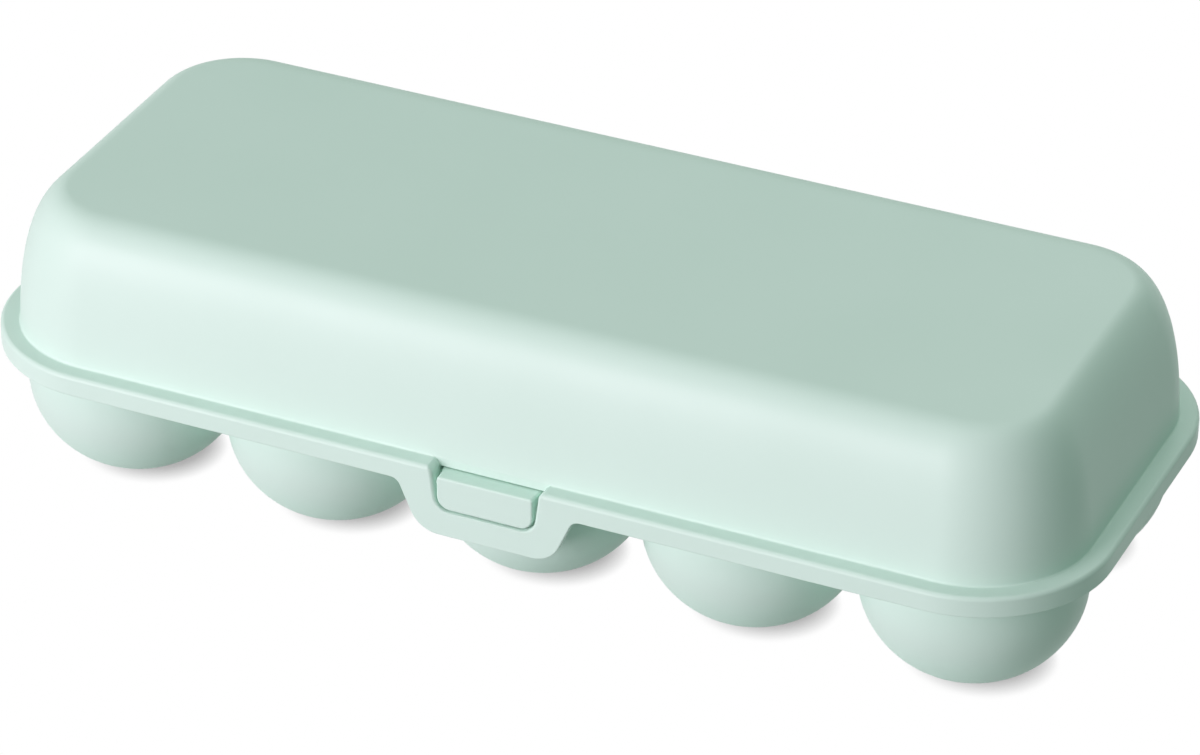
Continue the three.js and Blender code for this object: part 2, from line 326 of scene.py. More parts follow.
def rounded_path(corners: Sequence[tuple[float, float, float]]) -> list[Point2]:
    """Round the corners of a closed path.

    Args:
        corners: Each corner as (across, height, radius).

    Returns:
        The points of the rounded path.
    """
    points: list[Point2] = []
    for i, (u, z, radius) in enumerate(corners):
        here = Vector((u, z))
        before = (Vector(corners[i - 1][:2]) - here).normalized()
        after = (Vector(corners[(i + 1) % len(corners)][:2]) - here).normalized()
        if radius == 0:
            points.append((u, z))
            continue
        half = before.angle(after) / 2
        centre = here + (before + after).normalized() * radius / math.sin(half)
        first = here + before * radius / math.tan(half) - centre
        last = here + after * radius / math.tan(half) - centre
        start = math.degrees(math.atan2(first.y, first.x))
        turn = math.degrees(math.atan2(first.cross(last), first.dot(last)))
        points += arc((centre.x, centre.y), radius, start, start + turn, PATH_STEPS)
    return points


def mirrored(left: Sequence[tuple[float, ...]]) -> list[tuple[float, ...]]:
    """Repeat the left half of an outline as its mirror image on the right."""
    return [*left, *[(-point[0], *point[1:]) for point in reversed(left)]]


# Finishes


def to_linear(code: str) -> tuple[float, float, float, float]:
    """Turn an sRGB hex colour such as #CEE6DB into linear light."""
    channels = [int(code[i : i + 2], 16) / 255 for i in (1, 3, 5)]
    linear = [c / 12.92 if c <= 0.04045 else ((c + 0.055) / 1.055) ** 2.4 for c in channels]
    return (linear[0], linear[1], linear[2], 1.0)


def fresh_tree(owner: bpy.types.Material | bpy.types.World) -> Tree:
    """Give a material or a world an empty node tree."""
    owner.use_nodes = True
    owner.node_tree.nodes.clear()
    return owner.node_tree


def add_node(
    tree: Tree,
    kind: str,
    settings: Settings | None = None,
    links: dict[str | int, Socket] | None = None,
) -> bpy.types.Node:
    """Add a shader node.

    Args:
        tree: The node tree that it joins.
        kind: The node's type name.
        settings: Values by input name or number, or by property name where no input has that name.
        links: The output that feeds each input, by the input's name or number.

    Returns:
        The new node.
    """
    node = tree.nodes.new(kind)
    for name, value in (settings or {}).items():
        if isinstance(name, int) or name in node.inputs:
            node.inputs[name].default_value = value
        else:
            setattr(node, name, value)
    for name, output in (links or {}).items():
        tree.links.new(output, node.inputs[name])
    return node


@dataclass(frozen=True)
class MouldedPolypropylene:
    """Polypropylene, injection moulded in a tool with a fine satin texture.

    It gives the eye an even, milky pastel with a soft sheen: highlights are broad and weak, and
    edges catch a pale line. Flow in the tool leaves faint cloudy differences in gloss, and the
    tool's texture is a grain finer than the render shows, so it is drawn at its upper end.
    """

    name: str
    base: str = "#D1E7DD"
    shade: str = "#CDE4D9"
    roughness: float = 0.48
    roughness_spread: float = 0.05
    ior: float = 1.49
    specular: float = 0.37
    noise_detail: float = 2.0
    flow_mm: float = 38.0
    flow_roughness: float = 0.45
    flow_range: tuple[float, float] = (0.3, 0.7)
    grain_mm: float = 0.55
    grain_roughness: float = 0.6
    grain_depth_mm: float = 0.004
    grain_strength: float = 0.35
    # Painted bounce light in hollows: the colour painted where other surfaces stand near, how far
    # it looks for them, and its samples.
    hollow: str = "#D1E7DD"
    painted_bounce_reach_mm: float = 18.0
    painted_bounce_samples: int = 8

    def material(self) -> bpy.types.Material:
        """Build the node material.

        Returns:
            The material, shared by every piece of the moulding.
        """
        found = bpy.data.materials.get(self.name)
        if found:
            return found
        material = bpy.data.materials.new(self.name)
        tree = fresh_tree(material)
        flow = self.noise(tree, self.flow_mm, self.flow_roughness)
        grain = self.noise(tree, self.grain_mm, self.grain_roughness)
        tint = add_node(
            tree,
            "ShaderNodeMix",
            {"data_type": "RGBA", MIX_FROM: to_linear(self.base), MIX_TO: to_linear(self.shade)},
            {MIX_FACTOR: flow},
        )
        # Painted bounce light: the colour turns towards the hollow colour the more other surfaces
        # stand near.
        near = add_node(
            tree,
            "ShaderNodeAmbientOcclusion",
            {"samples": self.painted_bounce_samples, "Distance": self.painted_bounce_reach_mm * MM},
        )
        painted_bounce = add_node(
            tree,
            "ShaderNodeMix",
            {"data_type": "RGBA", MIX_FROM: to_linear(self.hollow)},
            {MIX_FACTOR: near.outputs["AO"], MIX_TO: tint.outputs[MIX_RESULT]},
        )
        gloss = add_node(
            tree,
            "ShaderNodeMapRange",
            {
                "From Min": self.flow_range[0],
                "From Max": self.flow_range[1],
                "To Min": self.roughness - self.roughness_spread / 2,
                "To Max": self.roughness + self.roughness_spread / 2,
            },
            {"Value": flow},
        )
        bump = add_node(
            tree,
            "ShaderNodeBump",
            {"Strength": self.grain_strength, "Distance": self.grain_depth_mm * MM},
            {"Height": grain},
        )
        plastic = add_node(
            tree,
            "ShaderNodeBsdfPrincipled",
            {"IOR": self.ior, "Metallic": 0.0, "Specular IOR Level": self.specular},
            {
                "Base Color": painted_bounce.outputs[MIX_RESULT],
                "Roughness": gloss.outputs["Result"],
                "Normal": bump.outputs["Normal"],
            },
        )
        add_node(tree, "ShaderNodeOutputMaterial", links={"Surface": plastic.outputs["BSDF"]})
        return material

    def noise(self, tree: Tree, size_mm: float, roughness: float) -> Socket:
        """Add a noise whose blotches have a real size.

        Args:
            tree: The node tree that it joins.
            size_mm: The blotches' size in millimetres.
            roughness: How strongly its finer layers count.

        Returns:
            Its output, from 0 to 1.
        """
        return add_node(
            tree,
            "ShaderNodeTexNoise",
            {"Scale": 1 / (size_mm * MM), "Detail": self.noise_detail, "Roughness": roughness},
            {"Vector": add_node(tree, "ShaderNodeTexCoord").outputs["Object"]},
        ).outputs["Fac"]


# Painted bounce light: the base colour is painted a little greener in hollows, where ambient
# occlusion finds other surfaces near, as light there has passed through or off the green plastic
# more than once. The cups stand close together, which makes it clearer on the tray.
LID_FINISH = MouldedPolypropylene(name="lid_moulded_polypropylene", hollow="#D1EADF")
TRAY_FINISH = MouldedPolypropylene(name="tray_moulded_polypropylene", hollow="#CFF3E3")


def dress(piece: Piece, slot: Slot, replaced: Sequence[str] = ()) -> None:
    """Give a piece the finish of its moulding, and name the CAD nodes that it stands for.

    Args:
        piece: The piece.
        slot: The record's material slot.
        replaced: The CAD nodes that it stands for.
    """
    finish = LID_FINISH if slot is Slot.LID else TRAY_FINISH
    piece.data.materials.clear()
    piece.data.materials.append(finish.material())
    if replaced:
        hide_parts(*replaced)
        count = len(piece.data.polygons)
        log.info("%s: %d faces, stands for %s", piece.name, count, ", ".join(replaced))


# The lid


@dataclass
class Lid:
    """The lid moulding, less its hinge clips."""

    half_length: float
    half_width: float
    ledge_height: float
    skirt_bottom: float
    height: float
    flap_bottom: float
    catch_top: float
    catch_back: float
    corner_radius: float = 30.3
    ledge_width_sides: float = 4.2
    ledge_width_ends: float = 4.5
    ledge_thickness: float = 2.2
    skirt_wall: float = 1.8
    rim_edge_radius: float = 1.0
    wall_foot_radius: float = 0.45
    wall: float = 1.8
    wall_corner_radius: float = 25.9
    top_corner_radius: float = 13.4
    side_draft: float = 7.3
    side_lean: float = 13.5
    side_curl_share: float = 0.75
    end_draft: float = 0.8
    end_lean: float = 11.5
    end_curl_share: float = 0.43
    upright_share: float = 0.7
    flap_top_half_width: float = 20.7
    flap_bottom_half_width: float = 15.6
    flap_corner_radius: float = 7.0
    flap_fillet_radius: float = 2.5
    window_bottom_half_width: float = 11.3
    window_top_half_width: float = 12.4
    window_corner_radius: float = 3.3
    window_roll: float = 2.0
    window_edge_radius: float = 1.0
    window_foot_share: float = 0.4
    window_top_margin: float = 2.0
    window_flare: float = 3.0
    roll_cut: float = 20.0
    flare_cut: float = 12.0
    cheek_thickness: float = 2.4
    catch_room_half_width: float = 12.3
    flap_bar_height: float = 6.3
    flap_root_height: float = 3.3
    latch_reach: float = 27.0
    latch_band: float = 3.0
    skirt_spare: float = 2.0
    seam: float = 0.3
    edge_radius: float = 0.35
    dome_steps: int = 30
    dome_step_bias: float = 1.25
    rim_edge_steps: int = 8
    wall_foot_steps: int = 4
    window_roll_steps: int = 8
    window_edge_steps: int = 6

    @classmethod
    def from_frame(cls) -> "Lid":
        """Read the lid's main sizes from its CAD nodes."""
        rim_low, rim_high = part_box("lid_rim")
        catch_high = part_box("latch_catch")[1]
        return cls(
            half_length=rim_high.x / MM,
            half_width=(rim_high.y - rim_middle()) / MM,
            ledge_height=rim_high.z / MM,
            skirt_bottom=rim_low.z / MM,
            height=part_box("lid_cover")[1].z / MM,
            flap_bottom=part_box("front_flap")[0].z / MM,
            catch_top=catch_high.z / MM,
            catch_back=(rim_middle() - catch_high.y) / MM,
        )

    def rim_ring(self, inset: float, height: float) -> list[Point3]:
        """Give a level ring, drawn in from the rim's outline."""
        return rounded_rectangle(
            self.half_length - inset,
            self.half_width - inset,
            self.corner_radius - inset,
            height,
        )

    def wall_ring(self, side: float, end: float, radius: float, height: float) -> list[Point3]:
        """Give a level ring of the dome, whose wall has leant in by side and by end."""
        return rounded_rectangle(
            self.half_length - self.ledge_width_ends - end,
            self.half_width - self.ledge_width_sides - side,
            radius,
            height,
        )

    def profile(
        self, share: float, draft: float, lean: float, curl: float
    ) -> tuple[Vector, Vector]:
        """Follow one wall of the dome from the ledge to the flat top.

        Args:
            share: How far along the curve, from 0 to 1.
            draft: The wall's slope at its foot, in degrees.
            lean: How far in the wall has come where it meets the flat top.
            curl: The share of the lean over which it turns into the top.

        Returns:
            The point (inwards, height) and the unit direction there.
        """
        upright = self.upright_share * (self.height - self.ledge_height)
        knots = [
            Vector((0.0, self.ledge_height)),
            Vector((upright * math.tan(math.radians(draft)), self.ledge_height + upright)),
            Vector((lean * (1 - curl), self.height)),
            Vector((lean, self.height)),
        ]
        t, s = share, 1 - share
        a, b, c, d = knots
        point = a * s**3 + b * (3 * s * s * t) + c * (3 * s * t * t) + d * t**3
        way = (b - a) * (s * s) + (c - b) * (2 * s * t) + (d - c) * (t * t)
        return point, way.normalized()

    def dome_ring(self, share: float, depth: float = 0.0) -> list[Point3]:
        """Give the dome's ring at a share of its profile, moved in square to the surface.

        Args:
            share: How far along the profile, from 0 to 1.
            depth: How far in from the dome's outside.

        Returns:
            The ring's points.
        """
        side, lift = self.profile(share, self.side_draft, self.side_lean, self.side_curl_share)
        end, _ = self.profile(share, self.end_draft, self.end_lean, self.end_curl_share)
        across = depth * lift.y
        curled = side.x / self.side_lean
        narrowing = (self.top_corner_radius - self.wall_corner_radius) * curled
        radius = self.wall_corner_radius + narrowing
        return self.wall_ring(
            side.x + across, end.x + across, radius - across, side.y - depth * lift.x
        )

    def shares(self) -> list[float]:
        """Give shares along the dome's profile, closer together where it curls."""
        rest = [1 - step / self.dome_steps for step in range(self.dome_steps + 1)]
        return [1 - part**self.dome_step_bias for part in rest]

    def inner_rings(self, lowest: float) -> list[list[Point3]]:
        """Give the rings inside the shell, from the flat ceiling down to the skirt's lower edge."""
        underside = self.ledge_height - self.ledge_thickness
        radius = self.wall_corner_radius - self.wall
        shares = [share for share in reversed(self.shares()) if share > 0]
        rings = [self.dome_ring(share, self.wall) for share in shares]
        rings.append(self.wall_ring(self.wall, self.wall, radius, underside))
        rings.append(self.rim_ring(self.skirt_wall, underside))
        rings.append(self.rim_ring(self.skirt_wall, lowest))
        return rings

    def outer_rings(self, lowest: float) -> list[list[Point3]]:
        """Give the rings outside the shell, from the skirt's lower edge up to the flat top."""
        rings = [self.rim_ring(0, lowest)]
        for step in range(self.rim_edge_steps + 1):
            angle = math.radians(90 * step / self.rim_edge_steps)
            inset = self.rim_edge_radius * (1 - math.cos(angle))
            drop = self.rim_edge_radius * (1 - math.sin(angle))
            rings.append(self.rim_ring(inset, self.ledge_height - drop))
        foot = self.wall_foot_radius
        slope = math.tan(math.radians(self.side_draft))
        for step in range(self.wall_foot_steps + 1):
            angle = math.radians(90 * step / self.wall_foot_steps)
            out, up = foot * (1 - math.sin(angle)), foot * (1 - math.cos(angle))
            radius = self.wall_corner_radius + out
            rings.append(self.wall_ring(up * slope - out, -out, radius, self.ledge_height + up))
        clear = self.ledge_height + 2 * foot
        rings += [ring for ring in map(self.dome_ring, self.shares()) if ring[0][2] > clear]
        return rings

    def skirt_trimmer(self, lowest: float) -> Piece:
        """Make the body that trims the deep skirt to its edge and to the loop at the front."""
        wide = self.half_length + BEYOND
        shoulder = self.flap_top_half_width
        left = [
            (-wide, lowest - BEYOND, 0.0),
            (-wide, self.skirt_bottom, 0.0),
            (-shoulder, self.skirt_bottom, self.flap_fillet_radius),
            (-self.flap_bottom_half_width, self.flap_bottom, self.flap_corner_radius),
        ]
        outline = rounded_path(mirrored(left))
        return slab("skirt_trimmer", outline, Across.Y, -self.half_width - BEYOND, 0)

    def window_outline(self, grown: float) -> list[Point2]:
        """Give the loop's window, seen from the front, with its upper sides rolled into the ledge.

        Args:
            grown: How much wider than its smallest section it is at each side.

        Returns:
            The window's closed outline.
        """
        top, roll = self.window_top_half_width + grown, self.window_roll
        reach = 90 - self.roll_cut
        lift = roll * (1 - math.sin(math.radians(reach)))
        middle = (-top - roll, self.ledge_height - roll)
        turned = arc(middle, roll, reach, 0, self.window_roll_steps)
        rolled = [(u, z + lift) for u, z in turned]
        foot = self.flap_bottom + self.flap_bar_height - grown * self.window_foot_share
        corners = [
            (-top, self.ledge_height - roll, 0.0),
            (-self.window_bottom_half_width - grown, foot, self.window_corner_radius + grown),
            (0.0, foot, 0.0),
        ]
        above = (rolled[0][0], self.ledge_height + self.window_top_margin)
        return mirrored([above, *rolled, *rounded_path(corners)[1:-1]])

    def window_cutter(self) -> Piece:
        """Make the body that cuts the loop's window, flared in front to round the window's edge."""
        front, radius = -self.half_width, self.window_edge_radius
        reach = math.radians(90 - self.flare_cut)
        sections = [(front + self.ledge_width_sides, 0.0)]
        for step in range(self.window_edge_steps + 1):
            angle = reach * step / self.window_edge_steps
            y = front + radius * (math.sin(reach) - math.sin(angle))
            sections.append((y, radius * (1 - math.cos(angle))))
        y, grown = sections[-1]
        flare = self.window_flare
        sections.append((y - flare * math.cos(reach), grown + flare * math.sin(reach)))
        rings = [[(u, y, z) for u, z in self.window_outline(grown)] for y, grown in sections]
        return lofted("window_cutter", rings)

    def cheeks(self) -> Piece:
        """Make the body that joins skirt and wall beside the window, before the window is cut."""
        reach = self.window_top_half_width + self.cheek_thickness
        front = -self.half_width
        low = (-reach, front + self.skirt_wall / 2, self.skirt_bottom + self.seam)
        top = self.ledge_height - self.ledge_thickness / 2
        return block("cheeks", low, (reach, front + self.ledge_width_sides, top))

    def catch_room(self) -> Piece:
        """Make the body that clears the ledge's inside round the catch."""
        half = self.catch_room_half_width
        return block(
            "catch_room",
            (-half, -self.half_width + self.skirt_wall, self.flap_bottom),
            (half, -self.catch_back + self.seam, self.catch_top + self.seam),
        )

    def is_outer_edge(self, edge: Edge) -> bool:
        """Tell whether an edge is sharp and not of the window, which its cutter has rounded."""
        middle = (edge.verts[0].co + edge.verts[1].co) / 2 / MM
        foot = self.flap_bottom + self.flap_bar_height - 2 * self.window_edge_radius
        side = self.window_top_half_width + 2 * self.window_roll
        in_window = abs(middle.x) < side and middle.z > foot and middle.y < 0
        return sharp_edge(edge) and not in_window

    def build(self) -> None:
        """Build the shell and dress it."""
        lowest = self.flap_bottom - self.skirt_spare
        shell = lofted("lid_shell", self.inner_rings(lowest) + self.outer_rings(lowest))
        rear = block(
            "rear_trimmer",
            (-self.half_length - BEYOND, 0, lowest - BEYOND),
            (self.half_length + BEYOND, self.half_width + BEYOND, self.skirt_bottom),
        )
        trimmers = [self.skirt_trimmer(lowest), rear, self.window_cutter(), self.catch_room()]
        combine(shell, [self.cheeks()], "UNION")
        combine(shell, trimmers, "DIFFERENCE")
        soften(shell, self.edge_radius, chosen=self.is_outer_edge)
        far, near = self.latch_reach, self.latch_reach - self.latch_band
        divide(shell, [-far, -near, near, far])
        smooth(shell)
        dress(shell, Slot.LID, ("lid_cover", "lid_rim", "front_flap"))
        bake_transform(shell)


# The tray


@dataclass
class Tray:
    """The tray moulding: ten cups and the deck round them."""

    pitch: float
    deck_top: float
    columns: int = 5
    rows: int = 2
    cup_radius: float = 24.7
    bowl_depth: float = 23.0
    bowl_centre: float = 22.5
    wall: float = 1.6
    rim_reach: float = 28.1
    mouth_radius: float = 0.8
    saddle_height: float = 24.5
    saddle_spread: float = 1.6
    saddle_end: float = 0.01
    web_radius: float = 3.0
    web_rise: float = 1.4
    web_rise_share: float = 0.5
    deck_edge_radius: float = 0.4
    opening_half_width: float = 15.3
    opening_back: float = 50.3
    opening_depth: float = 20.0
    side_steps: int = 18
    bowl_steps: int = 18
    mouth_steps: int = 5
    web_steps: int = 8

    @classmethod
    def from_frame(cls) -> "Tray":
        """Read the pitch of the cups and the height of the deck from the CAD nodes."""
        first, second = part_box("egg_cup_rear_2"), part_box("egg_cup_rear_3")
        return cls(pitch=(second[0].x - first[0].x) / MM, deck_top=first[1].z / MM)

    def reach(self, place: int, count: int, way: int) -> float:
        """Give how far a cup's piece of deck reaches, up (1) or down (-1) a row of cups."""
        outermost = count - 1 if way > 0 else 0
        return self.rim_reach if place == outermost else self.pitch / 2

    def edge_points(self, column: int, row: int) -> list[tuple[float, float, bool]]:
        """Give the points round a cup's piece of deck.

        Args:
            column: The cup's place along the box.
            row: The cup's place across the box.

        Returns:
            Each point as (x, y, whether it is on the tray's outer edge), from the cup's middle.
        """
        # A corner is round where the deck reaches the rim both ways.
        corners = []
        for sx, sy in QUARTERS:
            x, y = self.reach(column, self.columns, sx), self.reach(row, self.rows, sy)
            corners.append((sx * x, sy * y, min(x, y) > self.pitch / 2))
        points: list[tuple[float, float, bool]] = []
        for i, (x, y, is_round) in enumerate(corners):
            next_x, next_y, next_round = corners[(i + 1) % 4]
            start, end = math.atan2(y, x), math.atan2(next_y, next_x)
            if end < start:
                end += math.tau
            outward = round(math.degrees((start + end) / 2) / 90) * math.pi / 2
            side = abs(math.cos(outward) * x + math.sin(outward) * y)
            on_rim = side > (self.pitch / 2 + self.rim_reach) / 2
            if is_round:
                start = outward
            if next_round:
                end = outward
            for angle in np.linspace(start, end, self.side_steps + 1)[:-1]:
                distance = side / math.cos(angle - outward)
                points.append((distance * math.cos(angle), distance * math.sin(angle), on_rim))
            if next_round:
                for angle in np.linspace(outward, outward + math.pi / 2, self.side_steps + 1)[:-1]:
                    points.append((side * math.cos(angle), side * math.sin(angle), True))
        return points

    def bowl(self, inset: float) -> list[Point2]:
        """Follow a cup's bowl from its level foot up to its widest, as (radius, height).

        Args:
            inset: How far in from the cup's outside.

        Returns:
            The points of the curve.
        """
        radius, depth = self.cup_radius - inset, self.bowl_depth - inset
        lowest = math.acos((self.bowl_centre - inset) / depth)
        rise = math.pi / 2 - lowest
        angles = [lowest + rise * i / self.bowl_steps for i in range(self.bowl_steps + 1)]
        return [(radius * math.sin(a), self.bowl_centre - depth * math.cos(a)) for a in angles]

    def inner_profile(self) -> list[Point2]:
        """Follow the inside of a cup from its floor to the deck, as (radius, height)."""
        radius, lip = self.cup_radius - self.wall, self.mouth_radius
        top = self.deck_top - lip
        mouth = arc((radius + lip, top), lip, 180, 90, self.mouth_steps)
        return [*self.bowl(self.wall), (radius, top), *mouth[1:]]

    def outer_profile(self, edge: tuple[float, float, bool]) -> list[Point2]:
        """Follow the outside of a cup up to the underside of the deck, in one direction.

        Args:
            edge: The point of the deck's edge in that direction.

        Returns:
            Points as (radius, height), which end at the edge.
        """
        points = self.bowl(0.0)
        x, y, on_rim = edge
        reach = math.hypot(x, y)
        gap = reach - self.cup_radius
        ceiling = self.deck_top - self.wall
        narrowest = self.pitch / 2 - self.cup_radius
        if not on_rim:
            # The saddle between two cups ends before the corners of their pieces of deck, where the
            # other cups' pieces meet it.
            share = math.exp(-(gap - narrowest) / self.saddle_spread) - self.saddle_end
            ceiling -= (ceiling - self.saddle_height) * max(share, 0.0)
        width = min(gap, self.web_radius)
        rise = min(ceiling - self.bowl_centre, self.web_rise + self.web_rise_share * width)
        for step in range(self.web_steps + 1):
            angle = math.radians(90 * step / self.web_steps)
            out = self.cup_radius + width * (1 - math.cos(angle))
            points.append((out, ceiling - rise * (1 - math.sin(angle))))
        points.append((reach, ceiling))
        return points

    def build(self) -> None:
        """Build the cups and their deck as one skin, and dress it."""
        points: list[Point3] = []
        faces: list[Sequence[int]] = []
        for column in range(self.columns):
            for row in range(self.rows):
                self.add_cup(column, row, points, faces)
        shell = new_piece("tray_shell", points, faces)
        half, back = self.opening_half_width, -self.opening_back
        opening = block(
            "catch_opening",
            (-half, back - self.opening_depth, self.saddle_height),
            (half, back, self.deck_top + BEYOND),
        )
        combine(shell, [opening], "DIFFERENCE")
        soften(shell, self.deck_edge_radius, chosen=self.is_deck_edge)
        smooth(shell)
        numbers = range(1, self.columns + 1)
        cups = [f"egg_cup_{row}_{number}" for row in ("front", "rear") for number in numbers]
        dress(shell, Slot.TRAY, (*cups, "tray_rim"))
        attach(shell, Body.TRAY.value)

    def is_deck_edge(self, edge: Edge) -> bool:
        """Tell whether an edge is sharp and at the height of the deck."""
        lowest = (self.deck_top - 2 * self.wall) * MM
        return sharp_edge(edge) and all(end.co.z > lowest for end in edge.verts)

    def add_cup(
        self, column: int, row: int, points: list[Point3], faces: list[Sequence[int]]
    ) -> None:
        """Add one cup and its piece of deck to the tray's skin.

        Args:
            column: The cup's place along the box.
            row: The cup's place across the box.
            points: The skin's points, added to.
            faces: The skin's faces, added to.
        """
        x = (column - (self.columns - 1) / 2) * self.pitch
        y = (row - (self.rows - 1) / 2) * self.pitch
        edges = self.edge_points(column, row)
        inside = self.inner_profile()
        lines_in, lines_out = [], []
        for edge in edges:
            reach = math.hypot(edge[0], edge[1])
            way = (edge[0] / reach, edge[1] / reach)
            inner, outer = [*inside, (reach, self.deck_top)], self.outer_profile(edge)
            lines_in.append([(x + r * way[0], y + r * way[1], z) for r, z in inner])
            lines_out.append([(x + r * way[0], y + r * way[1], z) for r, z in outer])
        for side, middle in ((lines_in, (x, y, self.wall)), (lines_out, (x, y, 0.0))):
            base, depth = len(points), len(side[0])
            for line in side:
                points.extend(line)
            points.append(middle)
            for i in range(len(side)):
                j = (i + 1) % len(side)
                here, after = base + i * depth, base + j * depth
                faces.append((base + len(side) * depth, here, after))
                faces += [
                    (here + k, here + k + 1, after + k + 1, after + k) for k in range(depth - 1)
                ]
        base = len(points)
        points += [line[-1] for line in (*lines_in, *lines_out)]
        for i in range(len(edges)):
            j = (i + 1) % len(edges)
            if edges[i][2]:
                faces.append((base + i, base + j, base + len(edges) + j, base + len(edges) + i))


@dataclass
class Catch:
    """The lug on the tray that fills the window in the lid's loop."""

    half_width: float
    top: float
    bottom: float
    front: float
    back: float
    corner_radius: float = 3.0
    top_radius: float = 0.7
    spread: float = 0.85
    straight: float = 2.2
    edge_radius: float = 0.5
    edge_segments: int = 4
    wall: float = 1.8
    top_thickness: float = 2.0
    root: float = 0.8

    @classmethod
    def from_frame(cls) -> "Catch":
        """Read the catch's sizes from its CAD node."""
        low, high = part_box("latch_catch")
        return cls(
            half_width=high.x / MM,
            top=high.z / MM,
            bottom=low.z / MM,
            front=(low.y - rim_middle()) / MM,
            back=(high.y - rim_middle()) / MM,
        )

    def build(self) -> None:
        """Build the lug, hollow behind its face, and dress it."""
        rings = []
        sections = (
            (self.front, 0.0),
            (self.front + self.straight, 0.0),
            (self.back + self.root, self.spread),
        )
        for y, spread in sections:
            side = -self.half_width - spread
            left = [(side, self.top, self.top_radius), (side, self.bottom, self.corner_radius)]
            rings.append([(u, y, z) for u, z in rounded_path(mirrored(left))])
        lug = lofted("catch_lug", rings)
        pocket = block(
            "catch_pocket",
            (-self.half_width + self.wall, self.front + self.wall, self.bottom - BEYOND),
            (self.half_width - self.wall, self.back + BEYOND, self.top - self.top_thickness),
        )
        combine(lug, [pocket], "DIFFERENCE")
        soften(lug, self.edge_radius, self.edge_segments)
        smooth(lug)
        dress(lug, Slot.TRAY, ("latch_catch",))
        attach(lug, Body.TRAY.value)


# The hinge


